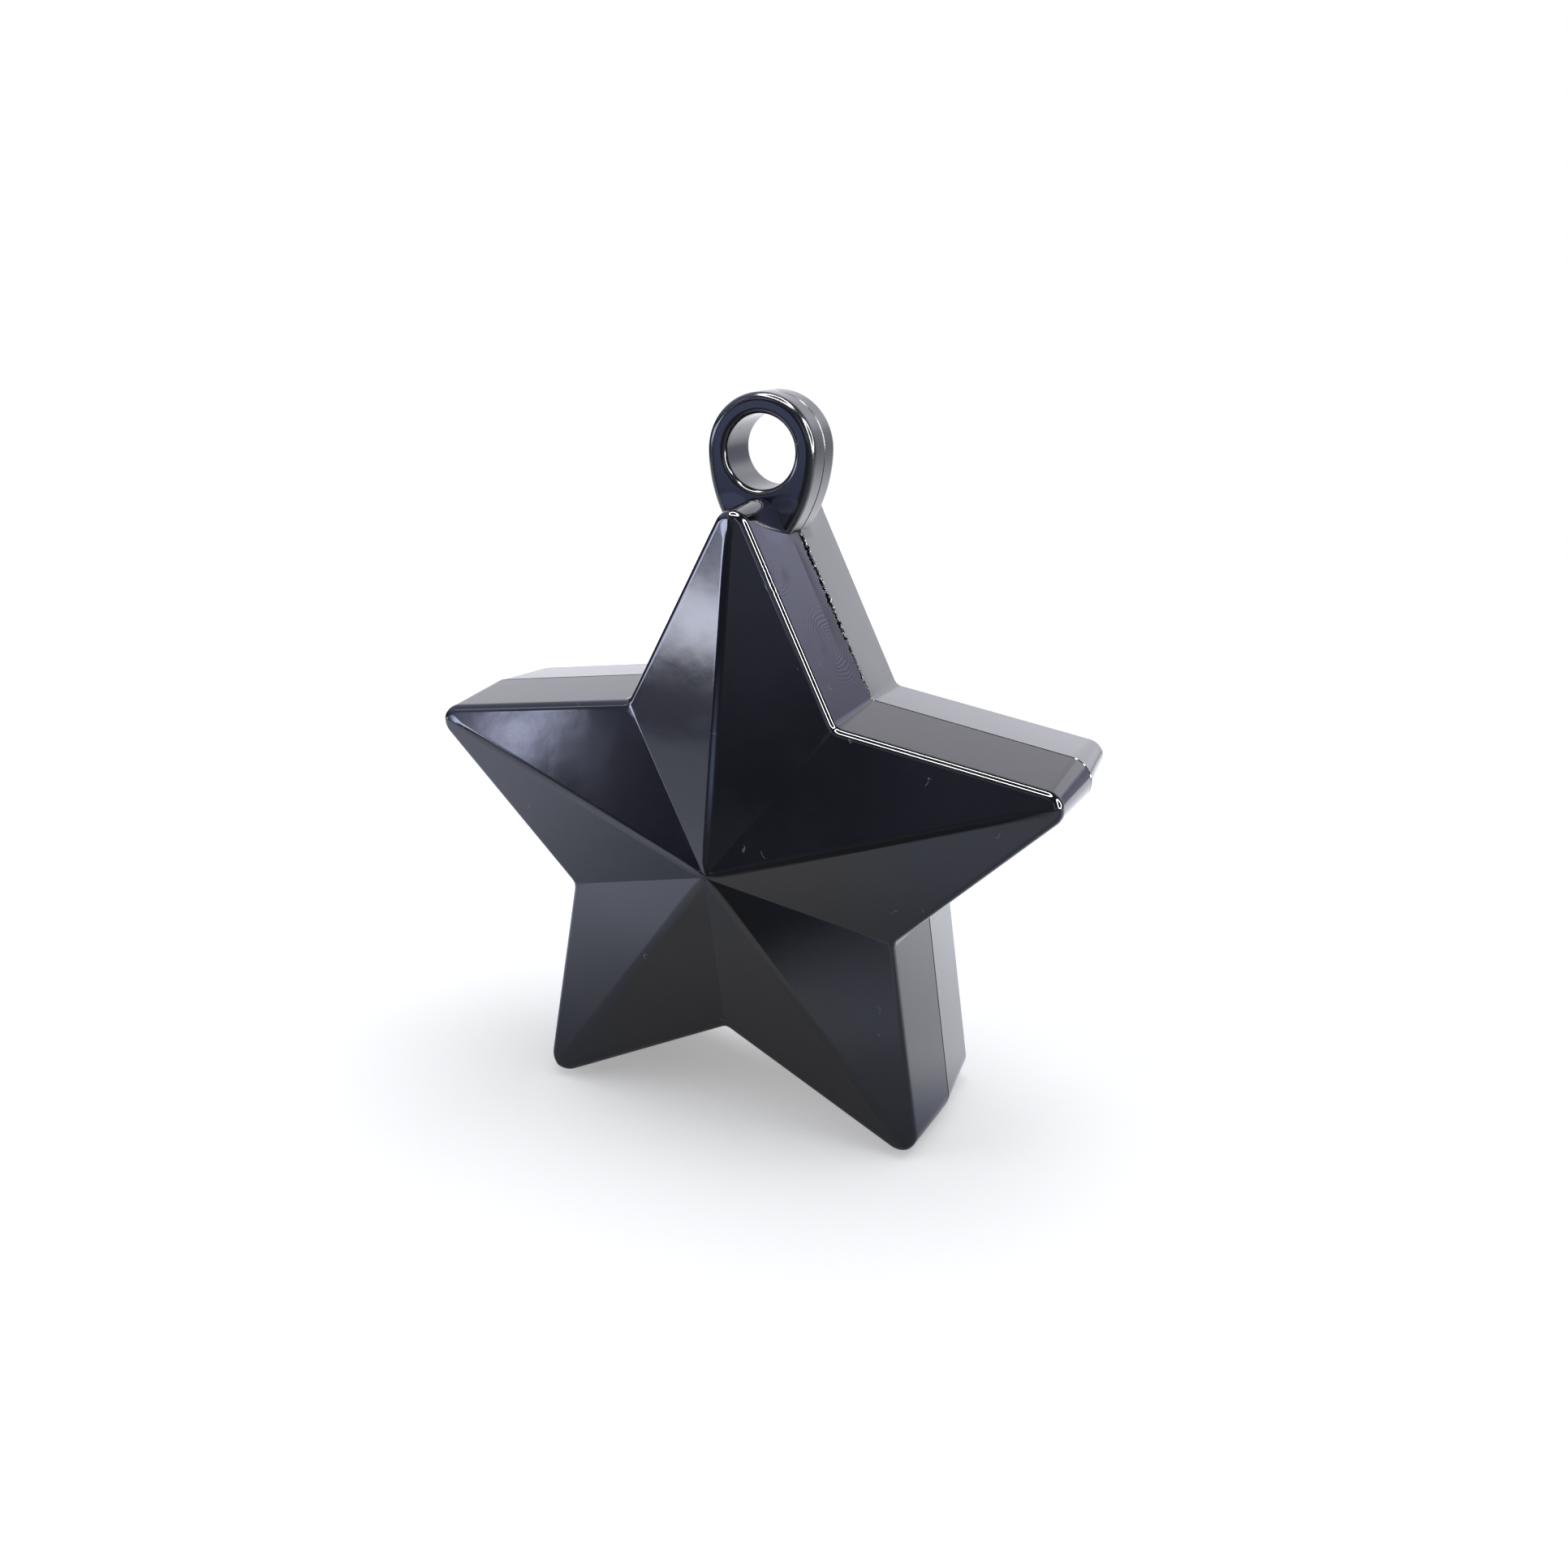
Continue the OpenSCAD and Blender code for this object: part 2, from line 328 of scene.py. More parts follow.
# %% Black plastic: how rough it is, and where
FACE_ROUGHNESS = 0.085
FLANK_ROUGHNESS = 0.05
LOOP_ROUGHNESS = 0.16
LOOP_SIDE_ROUGHNESS = 0.24
SMEAR_ROUGHNESS = 0.05
GRAIN_ROUGHNESS = 0.03
FACE_BEYOND = RIM_DEPTH + 0.2 * MM
FACE_WHOLLY = RIM_DEPTH + 0.45 * MM
LOOP_ABOVE = 84 * MM
THIN = 0.1 * MM

plastic, tree, shader, at = new_material("black_plastic")
x_at, y_at, z_at = split(at)
depth_at = y_at.op("ABSOLUTE")
aside = x_at.op("ABSOLUTE")
smears = noise(at, 14 * MM, detail=4.0, roughness=0.6)
grain = noise(at, 0.5 * MM, detail=3.0)

on_face = ramp(depth_at, FACE_BEYOND, FACE_WHOLLY)
on_loop = ramp(z_at, LOOP_ABOVE, LOOP_ABOVE + 1 * MM)
on_loop = on_loop * fall(depth_at, LOOP_HALF_T + 2 * THIN, LOOP_HALF_T + 4 * THIN)
on_loop_side = fall(depth_at, LOOP_HALF_T - 8 * THIN, LOOP_HALF_T - 4 * THIN)
loop_rough = either(on_loop_side, LOOP_SIDE_ROUGHNESS, LOOP_ROUGHNESS)
rough = either(on_face, FACE_ROUGHNESS, either(on_loop, loop_rough, FLANK_ROUGHNESS))
rough = rough + ramp(smears, 0.45, 0.7, 0.0, SMEAR_ROUGHNESS) + (grain - 0.5) * GRAIN_ROUGHNESS
print("roughness from", FLANK_ROUGHNESS, "on the flanks to", LOOP_SIDE_ROUGHNESS, "on the loop's side")

# %% [markdown]
# A moulding is never perfectly smooth, so three kinds of bump lie under the gloss: slow waves
# from shrinkage, a fine orange peel, and the ripple marks that the flow left on the top arm's
# right flank. A ripple is a wave of the distance from its centre, and it comes and goes in patches.

# %% Black plastic: what lies under the gloss
WAVE_LENGTH, WAVE_DEPTH = 8 * MM, 0.024 * MM
PEEL_LENGTH, PEEL_DEPTH = 0.9 * MM, 0.0012 * MM
RIPPLE_DEPTH = 0.011 * MM
RIPPLE_STEP = 0.58 * MM
RIPPLE_WOBBLE = 1.4 * MM
RIPPLE_CENTRES = [(11.5 * MM, -4.5 * MM, 71.6 * MM), (6.0 * MM, -11.0 * MM, 81.3 * MM)]
RIPPLE_REACHES = [9.0 * MM, 4.2 * MM]
FAINT = 0.25

patchy = ramp(noise(at, 4 * MM, detail=1.0), 0.35, 0.6, 0.35, 1.0)
skin = bump(noise(at, WAVE_LENGTH), WAVE_DEPTH)
skin = bump(noise(at, PEEL_LENGTH), PEEL_DEPTH, skin)
for centre, reach in zip(RIPPLE_CENTRES, RIPPLE_REACHES):
    away = length_from(at, centre)
    wobble = noise(at, 3 * MM, detail=1.0) * RIPPLE_WOBBLE
    rings = sin((away + wobble) * (2 * math.pi / RIPPLE_STEP)) * 0.5 + 0.5
    here = fall(away, 0.3 * reach, reach) * fall(y_at, -0.3 * MM, 0.0)
    here = here * ramp(away, 0.05 * reach, 0.3 * reach, FAINT, 1.0) * patchy
    skin = bump(rings * here, RIPPLE_DEPTH, skin)
print("ripples every", round(RIPPLE_STEP / MM, 2), "mm round", len(RIPPLE_CENTRES), "centres")

# %% [markdown]
# Dust sits on top, as small specks and as hairs. A hair is the thin line where a noise crosses
# its middle value, kept only in a few small cells.

# %% Black plastic: dust
DUST = (0.30, 0.31, 0.33, 1)
SPECK_CELL, HAIR_CELL = 2.6 * MM, 4.5 * MM
SPECK_SPREAD, SPECK_LOSS, SPECK_EDGE = 0.05, 0.034, 0.012
HAIR_EDGE = (0.004, 0.011)
HAIR_LUCK = (0.78, 0.80)
HAIR_REACH = (0.10, 0.16)
HAIR_STRENGTH = 0.6
DUST_ROUGHNESS = 0.4

# Only a cell whose first number is high holds a speck, and the higher it is, the larger the speck
away, luck = cells(at, SPECK_CELL)
specks = fall(away - (luck[0] * SPECK_SPREAD - SPECK_LOSS), 0.0, SPECK_EDGE)
curls = (noise(at, 1.6 * MM, detail=1.0) - 0.5).op("ABSOLUTE")
away, luck = cells(at, HAIR_CELL)
hairs = fall(curls, *HAIR_EDGE) * ramp(luck[1], *HAIR_LUCK) * fall(away, *HAIR_REACH)
dust = (specks + hairs * HAIR_STRENGTH).op("MINIMUM", 1.0)
print("colour of the specks and hairs of dust:", DUST[:3])

# %% [markdown]
# Painted reflections, a lighter navy in the colour, lie round the root of the loop and low on
# the loop's face. Each place is folded by taking x and y without their signs, so one serves all four sides.

# %% Black plastic: colour, with painted reflections
BLACK = (0.0035, 0.0038, 0.0062, 1)
BLACK_WORN = (0.0055, 0.0058, 0.0085, 1)
PAINTED_REFLECTION = (0.034, 0.036, 0.062, 1)
ROOT_REFLECTION_AT = (3.0 * MM, 6.5 * MM, 88.2 * MM)
ROOT_REFLECTION_EDGE = (3.2 * MM, 5.4 * MM)
FRAY = 1.6 * MM
LOOP_REFLECTION_X, LOOP_REFLECTION_Z = 4.0 * MM, 89.8 * MM
LOOP_REFLECTION_WIDE, LOOP_REFLECTION_HIGH = 2.3 * MM, 1.2 * MM
PLASTIC_IOR = 1.5

folded = add(tree, "ShaderNodeCombineXYZ", X=aside, Y=depth_at, Z=z_at)
frayed = noise(at, 1.5 * MM) * FRAY
in_front = (LOOP_HALF_T + 0.5 * THIN, LOOP_HALF_T + 1.5 * THIN)
# The painted reflection round the loop's root: a soft blob with a frayed edge
root_reflection = fall(length_from(Field(tree, folded.outputs[0]), ROOT_REFLECTION_AT) + frayed, *ROOT_REFLECTION_EDGE)
root_reflection = root_reflection * ramp(depth_at, *in_front)
across = (aside - LOOP_REFLECTION_X) / LOOP_REFLECTION_WIDE
up = (z_at - LOOP_REFLECTION_Z) / LOOP_REFLECTION_HIGH
# The second painted reflection: an oval low on the loop's face
loop_reflection = fall(across * across + up * up, 0.5, 1.2)
on_loop_face = ramp(depth_at, LOOP_HALF_T - THIN, LOOP_HALF_T) * fall(depth_at, *in_front)
loop_reflection = loop_reflection * on_loop_face

colour = blend_colour(ramp(smears, 0.35, 0.75), BLACK, BLACK_WORN)
# A lighter navy is painted into the colour where the gloss should show mirrored light
colour = blend_colour(biggest(root_reflection, loop_reflection), colour, PAINTED_REFLECTION)
feed(tree, shader, Base_Color=blend_colour(dust, colour, DUST),
     Roughness=rough + dust * DUST_ROUGHNESS, Normal=skin, IOR=PLASTIC_IOR)
print("plastic nodes:", len(tree.nodes))

# %% [markdown]
# The cement that holds the shells is a black resin that nobody polished. Where too much was
# used it dried in wet-looking beads with pale crumbs. The filling is plaster. It is closed in,
# yet it gets its own finish, because the model may be cut open one day.

# %% Cement
RESIN = (0.004, 0.004, 0.006, 1)
RESIN_DULL = (0.016, 0.016, 0.02, 1)
CRUMB = (0.34, 0.34, 0.38, 1)
LINE_ROUGHNESS = 0.45
LUMP_DEPTH = 0.02 * MM

cement, tree, shader, at = new_material("joint_cement")
x_at, y_at, z_at = split(at)
lumps = noise(at, 0.25 * MM, detail=3.0)
away, luck = cells(at, 0.7 * MM)

# The beads lie on the right of the top arm, and only they hold pale crumbs and wet gloss
spill = ramp(z_at, 63 * MM, 68 * MM) * fall(z_at, 84 * MM, 86 * MM)
spill = spill * ramp(x_at, 0.0, 2 * MM)
pale = ramp(luck[0], 0.84, 0.87) * spill
resin = blend_colour(lumps, RESIN, RESIN_DULL)
wet = ramp(lumps, 0.3, 0.7, 0.04, 0.15)
feed(tree, shader, Base_Color=blend_colour(pale, resin, CRUMB),
     Roughness=either(spill, wet, LINE_ROUGHNESS), Normal=bump(lumps, LUMP_DEPTH))
print("cement nodes:", len(tree.nodes))

# %% Plaster
PLASTER_DARK = (0.42, 0.40, 0.36, 1)
PLASTER_PALE = (0.58, 0.56, 0.52, 1)
PAINTED_PORE_SHADE = (0.25, 0.24, 0.22, 1)
PORE_DEPTH = 0.15 * MM

plaster, tree, shader, at = new_material("cast_plaster")
cloud = noise(at, 8 * MM, detail=5.0)
away, luck = cells(at, 1.5 * MM)
# The pores are dented by the bump, and their darker colour is painted shade inside them
pores = fall(away, 0.0, 0.18)
grey = blend_colour(cloud, PLASTER_DARK, PLASTER_PALE)
feed(tree, shader, Base_Color=blend_colour(pores, grey, PAINTED_PORE_SHADE),
     Roughness=ramp(cloud, 0.2, 0.8, 0.8, 0.95), Normal=bump(1 - pores, PORE_DEPTH))
print("plaster nodes:", len(tree.nodes))

# %% [markdown]
# The star follows a rule. Take the outline and slide it along the flank, round it over the rim,
# then shrink it towards the centre while it rises: the shape is a stack of outlines. So the
# script makes only a net of points, ring by ring, and notes on each point which corner it belongs
# to, how far it has turned round that corner, and which step of the stack it is on. The node tree
# reads the notes and works out every place from the named sizes. A ring or column sits close
# beside each rounding, so that the flat facets shade flat right up to it.

# %% The net of points
TIP_STEPS = 16
WAIST_STEPS = 10
FILLET_STEPS = 12
HOLD = 0.15 * MM
UNUSED = -1.0

columns = []
for corner in range(CORNERS):
    steps = TIP_STEPS if corner % 2 == 0 else WAIST_STEPS
    columns.append((corner, 1.0, HOLD))
    for i in range(steps + 1):
        columns.append((corner, 1 - 2 * i / steps, 0.0))
    columns.append((corner, -1.0, -HOLD))
print("columns round the star:", len(columns))

# %% [markdown]
# A ring is one step of the stack: how far it has grown, how high it lies, and whether it is on
# the rim's rounding or on the face. On the face the ridges lose their rounding near the centre,
# and the valleys are sharper than the ridges. The top arm's right flank is drawn in a little near
# the joint: a sink mark, where the plastic shrank over the lip.

# %% The rings of the stack
FLANK_END = 1.35 * MM
FACE_START = 1.0 * MM
SINK = 0.17 * MM
SINK_REACH = 3.3 * MM
SINK_STEPS = 8
BLUNT_SHARE = 0.06
SHARP_CENTRE_SHARE = 0.07
VALLEY_RIM_SHARE = 0.85
VALLEY_AT_RIM, VALLEY_INSIDE = 0.7, 0.12
FACE_SHARES = (0.9, 0.8, 0.5, 0.12, BLUNT_SHARE)
PEAK_SHARES = (0.045, 0.03, 0.015)
CAVITY_TOP_SHARE = 0.1
CAVITY_PEAK_SHARE = 0.97
PLAIN_RING = dict(growth=0.0, height=0.0, share=1.0, ridge=0.0, valley=0.0, depth_share=0.0,
                  rise_share=0.0, fillet=UNUSED, face_drop=UNUSED, dip=0.0)


def ring(**changes):
    """One step of the stack. fillet is 0 to 1 on the rim's rounding, and UNUSED elsewhere."""
    return dict(PLAIN_RING, **changes)


def share_ring(share, rise_share, drop=0.0):
    """A ring on the face: a smaller star with softened ridges, and valleys that sharpen inwards."""
    soft = min(1.0, share / SHARP_CENTRE_SHARE)
    valley = VALLEY_AT_RIM if share > VALLEY_RIM_SHARE else VALLEY_INSIDE
    return ring(share=share, ridge=soft, valley=soft * valley, depth_share=1.0,
                rise_share=rise_share, height=-drop)


outer = [
    ring(growth=DRAFT_GROWTH - SEAM_BEVEL, dip=SINK),
    ring(growth=grown(SEAM_BEVEL), height=SEAM_BEVEL, dip=SINK),
    ring(growth=grown(SEAM_BEVEL + HOLD), height=SEAM_BEVEL + HOLD, dip=SINK),
]
for i in range(2, SINK_STEPS + 1):
    h = SINK_REACH * i / SINK_STEPS
    outer.append(ring(growth=grown(h), height=h, dip=SINK * (1 - (h / SINK_REACH) ** 2)))
outer.append(ring(growth=grown(SINK_REACH + HOLD), height=SINK_REACH + HOLD))
outer.append(ring(growth=grown(RIM_DEPTH - FLANK_END), height=RIM_DEPTH - FLANK_END))
outer += [ring(fillet=i / FILLET_STEPS) for i in range(FILLET_STEPS + 1)]
outer.append(ring(growth=-FACE_START, face_drop=0.0))
outer += [share_ring(s, 1 - s) for s in FACE_SHARES]
outer += [share_ring(s, 1 - BLUNT_SHARE / 2 - s * s / (2 * BLUNT_SHARE)) for s in PEAK_SHARES]

inner_top = [
    share_ring(CAVITY_TOP_SHARE, 1 - CAVITY_TOP_SHARE, WALL_DROP),
    ring(growth=grown(RIM_DEPTH - WALL) - WALL, face_drop=WALL_DROP),
]
cavity, lip_out = DRAFT_GROWTH - WALL, DRAFT_GROWTH - LAND
recess, recess_deep = lip_out + LIP_SIDE_GAP, LIP + LIP_END_GAP
front_inner = inner_top + [ring(growth=cavity), ring(growth=cavity, height=-LIP),
                           ring(growth=lip_out, height=-LIP), ring(growth=lip_out)]
rear_inner = inner_top + [ring(growth=cavity, height=recess_deep),
                          ring(growth=recess, height=recess_deep), ring(growth=recess)]
print("rings outside:", len(outer), "and inside:", len(front_inner), "in front,", len(rear_inner), "behind")

# %% The net as a mesh
NOTES = (*PLAIN_RING, "corner", "swing", "reach")


def band_faces(n, rings, bands):
    """The faces of bands between rings of n points. With as many bands as rings the last one
    leads back to the first ring."""
    return [(j * n + i, j * n + (i + 1) % n, (j + 1) % rings * n + (i + 1) % n, (j + 1) % rings * n + i)
            for j in range(bands) for i in range(n)]


def star_net(name, rings, sunk):
    """The net as a closed mesh: rings of points, and one point at either end. The notes on its
    points say how the rule places them. sunk is 1 where the right flank has its sink mark."""
    mesh = bpy.data.meshes.new(name)
    n, m = len(columns), len(rings)
    faces = band_faces(n, m, m - 1)
    faces += [(n * m, (i + 1) % n, i) for i in range(n)]
    faces += [(n * m + 1, (m - 1) * n + i, (m - 1) * n + (i + 1) % n) for i in range(n)]
    mesh.from_pydata([(0, 0, 0)] * (n * m + 2), [], faces)
    rows = rings + [share_ring(0.0, CAVITY_PEAK_SHARE, WALL_DROP), share_ring(0.0, 1 - BLUNT_SHARE / 2)]
    owner = [(j, i) for j in range(m) for i in range(n)] + [(m, 0), (m + 1, 0)]
    notes = {key: [rows[j][key] for j, i in owner] for key in rows[0]}
    notes["corner"] = [float(columns[i][0]) for j, i in owner]
    notes["swing"] = [columns[i][1] for j, i in owner]
    notes["reach"] = [columns[i][2] if j < m else 0.0 for j, i in owner]
    for spot, (j, i) in enumerate(owner):
        corner, swing, _ = columns[i]
        notes["dip"][spot] *= sunk * max(0.0, -swing) if corner == 0 else 0.0
    for key, values in notes.items():
        mesh.attributes.new(key, "FLOAT", "POINT").data.foreach_set("value", values)
    return place(name, mesh)


# %% The rule that shapes the star
star_inputs = {
    "Tip radius": TIP_R, "Waist radius": WAIST_R, "Rim depth": RIM_DEPTH, "Apex rise": APEX_RISE,
    "Tip round": TIP_ROUND, "Waist round": WAIST_ROUND, "Rim round": RIM_ROUND,
    "Ridge round": RIDGE_ROUND, "Valley round": VALLEY_ROUND, "Draft growth": DRAFT_GROWTH,
    "Core round": CORE_ROUND, "Centre height": STAR_Z, "Side": 1.0,
}
star_rule, start, size = new_tree("star_rule", star_inputs)


def note(tree, name):
    """Reads one of the notes on the net's points."""
    node = add(tree, "GeometryNodeInputNamedAttribute", {"data_type": "FLOAT"}, Name=name)
    return Field(tree, node.outputs["Attribute"])


corner, swing, reach = (note(star_rule, n) for n in ("corner", "swing", "reach"))
growth, share, ridge, valley = (note(star_rule, n) for n in ("growth", "share", "ridge", "valley"))
fillet, face_drop, dip = (note(star_rule, n) for n in ("fillet", "face_drop", "dip"))

tip_half = atan2(size["Waist radius"] * math.sin(HALF_STEP),
                 size["Tip radius"] - size["Waist radius"] * math.cos(HALF_STEP))
edge_far = size["Tip radius"] * sin(tip_half)
draft = atan2(size["Draft growth"], size["Rim depth"])
is_tip = 1 - corner.op("MODULO", 2.0)
side = is_tip * 2 - 1
half = either(is_tip, tip_half, (math.pi - HALF_STEP) - tip_half)
middle = math.pi / 2 - corner * HALF_STEP

# The corner's circle, and the point's place on it
plain_round = either(is_tip, size["Tip round"] + growth, size["Waist round"] - growth)
plain_round = biggest(plain_round, size["Core round"])
soft_round = either(is_tip, size["Ridge round"] * ridge, size["Valley round"] * valley)
is_soft = ridge.op("GREATER_THAN", 0.0)
at_centre = share.op("GREATER_THAN", 0.0)
radius = either(is_soft, soft_round, plain_round) * at_centre
far = either(is_tip, size["Tip radius"], size["Waist radius"]) * share
far = far + (1 - is_soft) * at_centre * growth / sin(half)
to_circle = far - side * radius / sin(half)
turn = (math.pi / 2 - half).op("ABSOLUTE")
normal = middle + side * turn * swing
px = to_circle * cos(middle) + side * radius * cos(normal) - reach * sin(normal)
pz = to_circle * sin(middle) + side * radius * sin(normal) + reach * cos(normal)

# The sloping face above that point, and the rim's rounding between flank and face
JUST_BELOW_ZERO = -0.0001
swing_sign = swing.op("GREATER_THAN", JUST_BELOW_ZERO) * 2 - 1
facet = middle + side * turn * swing_sign
face_height = size["Rim depth"] + size["Apex rise"] * (1 - (px * cos(facet) + pz * sin(facet)) / edge_far)
slope = atan2(size["Apex rise"] * cos(turn * (1 - swing.op("ABSOLUTE"))), edge_far)
corner_gap = size["Rim round"] / ((math.pi / 2 + draft + slope) * 0.5).op("TANGENT")
sweep = draft + fillet * (math.pi / 2 - slope - draft)
inward = size["Rim round"] * (cos(draft) - cos(sweep)) - corner_gap * sin(draft)
fillet_height = face_height - corner_gap * cos(draft) + size["Rim round"] * (sin(sweep) - sin(draft))

in_fillet = fillet.op("GREATER_THAN", UNUSED / 2)
in_face = face_drop.op("GREATER_THAN", UNUSED / 2)
level = note(star_rule, "height") + size["Rim depth"] * note(star_rule, "depth_share")
level = level + size["Apex rise"] * note(star_rule, "rise_share")
height = in_fillet * fillet_height + in_face * (face_height - face_drop) + (1 - in_fillet - in_face) * level
pull = in_fillet * inward + dip
spot = add(star_rule, "ShaderNodeCombineXYZ", X=px - pull * cos(normal), Y=height * size["Side"],
           Z=pz - pull * sin(normal) + size["Centre height"])
shaped = add(star_rule, "GeometryNodeSetPosition", Geometry=start.outputs[0], Position=spot.outputs[0])
finish_tree(star_rule, shaped.outputs[0], plastic)
print("nodes in the star's rule:", len(star_rule.nodes))

# %% [markdown]
# The loop is a thick ring whose sides run down and in until they meet the star. Its outline is
# made of three arcs, and its foot follows the star's tip inside the wall, so the two overlap and
# a Boolean can weld them. A band of rings goes once round the section: up the outer side, over
# the rounded edge, across the face, into the hole's rounded mouth, down the bore and back.

# %% Sizes of the loop
HOLE_R = 5 * MM
LOOP_R = 7.85 * MM
LOOP_SIDE_R = 19 * MM
HOLE_RISE = 5.75 * MM
LOOP_EDGE_ROUND = 1.1 * MM
MOUTH_ROUND = 0.8 * MM
ROOT_SINK = 0.6 * MM
LOOP_TOP_STEPS = 48
LOOP_SIDE_STEPS = 14
ROOT_STEPS = 14
EDGE_STEPS = 10
MOUTH_STEPS = 8
HOLE_H = max(z for x, z in corner_arc(0, DRAFT_GROWTH, FINE_ARC_STEPS)) + HOLE_RISE
SIDE_SHIFT = LOOP_SIDE_R - LOOP_R
print("the loop's hole is", round((STAR_Z + HOLE_H) / MM, 2), "mm above the floor")


def loop_outline(extra, growth):
    """The loop from its left foot over the top to its right foot, round the star's centre."""
    flat = EDGE_D + growth - HOLE_H * math.sin(TIP_HALF) + SIDE_SHIFT * math.cos(TIP_HALF)
    foot = TIP_HALF - math.acos(flat / (LOOP_SIDE_R + extra))
    r = LOOP_SIDE_R + extra
    flank = []
    for i in range(LOOP_SIDE_STEPS + 1):
        a = foot * (1 - i / LOOP_SIDE_STEPS)
        flank.append((r * math.cos(a) - SIDE_SHIFT, HOLE_H + r * math.sin(a)))
    top = []
    for i in range(1, LOOP_TOP_STEPS):
        a = math.pi * i / LOOP_TOP_STEPS
        top.append(((LOOP_R + extra) * math.cos(a), HOLE_H + (LOOP_R + extra) * math.sin(a)))
    return [(-x, z) for x, z in flank] + top[::-1] + flank[::-1]


def loop_section():
    """Rows of (kind, offset, height) once round the loop's section."""
    rows = [("edge", -SEAM_BEVEL, 0.0), ("edge", 0.0, SEAM_BEVEL), ("edge", 0.0, SEAM_BEVEL + HOLD),
            ("edge", 0.0, LOOP_HALF_T - LOOP_EDGE_ROUND - HOLD)]
    for i in range(EDGE_STEPS + 1):
        a = math.pi / 2 * i / EDGE_STEPS
        rows.append(("edge", -LOOP_EDGE_ROUND * (1 - math.cos(a)),
                     LOOP_HALF_T - LOOP_EDGE_ROUND * (1 - math.sin(a))))
    rows.append(("edge", -LOOP_EDGE_ROUND - HOLD / 2, LOOP_HALF_T))
    rows.append(("hole", MOUTH_ROUND + HOLD / 2, LOOP_HALF_T))
    for i in range(MOUTH_STEPS + 1):
        a = math.pi / 2 * (1 - i / MOUTH_STEPS)
        rows.append(("hole", MOUTH_ROUND * (1 - math.cos(a)),
                     LOOP_HALF_T - MOUTH_ROUND * (1 - math.sin(a))))
    rows += [("hole", 0.0, LOOP_HALF_T - MOUTH_ROUND - HOLD), ("hole", 0.0, 0.0)]
    return rows


def loop_half(name, sign):
    """One half of the loop as a closed band."""
    root_growth = DRAFT_GROWTH - ROOT_SINK
    root = corner_arc(0, root_growth, ROOT_STEPS)[::-1]
    rings = []
    for kind, offset, rise in loop_section():
        outline = loop_outline(offset if kind == "edge" else -LOOP_EDGE_ROUND, root_growth) + root
        if kind == "hole":
            outline = [((HOLE_R + offset) * math.cos(a), HOLE_H + (HOLE_R + offset) * math.sin(a))
                       for a in (math.atan2(z - HOLE_H, x) for x, z in outline)]
        rings.append([(x, sign * rise, z + STAR_Z) for x, z in outline])
    n, m = len(rings[0]), len(rings)
    faces = band_faces(n, m, m)
    mesh = bpy.data.meshes.new(name)
    mesh.from_pydata([p for r in rings for p in r], [], faces)
    mesh.materials.append(plastic)
    return place(name, mesh)


# %% [markdown]
# Each half is welded from its star and its loop by a Boolean, because on the real part they are
# one moulding. Smooth shading with sharp lines at wide angles keeps the flat facets flat and the
# rounded edges round.

# %% Weld each half and shade it
CREASE = math.radians(34)


def outward(mesh):
    """Turns all faces of a closed mesh outwards."""
    work = bmesh.new()
    work.from_mesh(mesh)
    bmesh.ops.recalc_face_normals(work, faces=work.faces)
    work.to_mesh(mesh)
    work.free()


def shade(mesh):
    """Smooth shading, with a crisp line only where two faces meet at a wide angle."""
    mesh.shade_smooth()
    mesh.set_sharp_from_angle(angle=CREASE)


def report(name, mesh):
    """Prints how many faces a mesh has, whether it is closed, and what it holds."""
    probe = bmesh.new()
    probe.from_mesh(mesh)
    loose = sum(1 for e in probe.edges if not e.is_manifold)
    print(name, "faces:", len(mesh.polygons), "open edges:", loose,
          "volume in ml:", round(probe.calc_volume(signed=True) * 1e6, 2))
    probe.free()


def moulded_half(name, inner, sign):
    """One shell with its half of the loop. sign is -1 for the front and 1 for the rear."""
    net = star_net(name + "_net", inner + outer, 1.0 if sign < 0 else 0.0)
    body = place(name, run_tree(net, star_rule, side=sign))
    bpy.data.objects.remove(net)
    outward(body.data)
    loop = loop_half(name + "_loop", sign)
    outward(loop.data)
    weld = body.modifiers.new("weld", "BOOLEAN")
    weld.operation, weld.solver, weld.object = "UNION", "EXACT", loop
    welded = baked(body)
    body.modifiers.remove(weld)
    body.data = welded
    bpy.data.objects.remove(loop)
    for key in NOTES:
        if key in welded.attributes:
            welded.attributes.remove(welded.attributes[key])
    welded.materials.clear()
    welded.materials.append(plastic)
    shade(welded)
    report(name, welded)
    return body


front = moulded_half("front_moulding", front_inner, -1.0)
rear = moulded_half("rear_moulding", rear_inner, 1.0)
for piece, node in ((front, "front_shell"), (rear, "rear_shell")):
    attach(piece, "root")
    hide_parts(node)

# %% [markdown]
# The cement shows as a thin dark line in the groove between the halves, all the way round the
# star and over the loop. On the top arm's right flank too much was used, and it came out as a
# row of broken beads with bright glints. Both follow a path, so both are Geometry Nodes: one tree
# sweeps a small section along the path with a noisy radius, and another strews chips on part of it.

# %% The path of the joint
SEAM_DEPTH = 0.15 * MM
PATH_ARC_STEPS = 8


def seam_path():
    """The joint's line round the whole weight, starting at the loop's left foot."""
    path = loop_outline(-SEAM_DEPTH, DRAFT_GROWTH)
    for corner in range(1, CORNERS):
        path += corner_arc(corner, DRAFT_GROWTH - SEAM_DEPTH, PATH_ARC_STEPS)
    return path


def path_curve(name, points, closed):
    """A curve through (x, z) points of the joint's plane."""
    curve = bpy.data.curves.new(name, "CURVE")
    curve.dimensions = "3D"
    line = curve.splines.new("POLY")
    line.points.add(len(points) - 1)
    for spot, (x, z) in zip(line.points, points):
        spot.co = (x, 0, z + STAR_Z, 1)
    line.use_cyclic_u = closed
    return place(name, curve)


